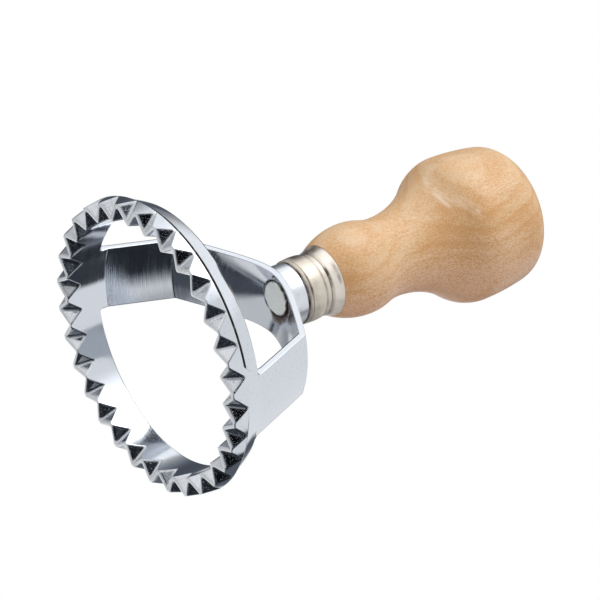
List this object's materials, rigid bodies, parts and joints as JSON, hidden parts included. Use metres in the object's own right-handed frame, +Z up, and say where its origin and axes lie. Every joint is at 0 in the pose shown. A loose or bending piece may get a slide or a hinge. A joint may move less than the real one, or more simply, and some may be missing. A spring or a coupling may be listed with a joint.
{
  "type": "ravioli stamp",
  "caption": "Round ravioli stamp: a chrome ring with a zigzag fluted cutting edge on a two-legged yoke, with a tang, collar, ferrule and turned wooden knob handle on its axis.",
  "frame": {"origin": "centre of the cutting plane, on the common axis of ring and handle", "axes": "+Z up the handle, away from the cutting edge; the two legs of the yoke stand at +X and -X"},
  "size_m": [0.071, 0.071, 0.1123],
  "materials": {
    "chrome_plate": "bright chrome plate over a casting, with fine pits",
    "bare_steel": "plain turned steel, dull on its end",
    "nickel_plate": "warm nickel plate, slightly tarnished",
    "wood": "turned pale hardwood, thin satin coat"
  },
  "bodies": {
    "root": {"cutter": "chrome_plate", "tang": "bare_steel", "collar": "chrome_plate", "ferrule": "nickel_plate", "handle": "wood"}
  },
  "joints": []
}
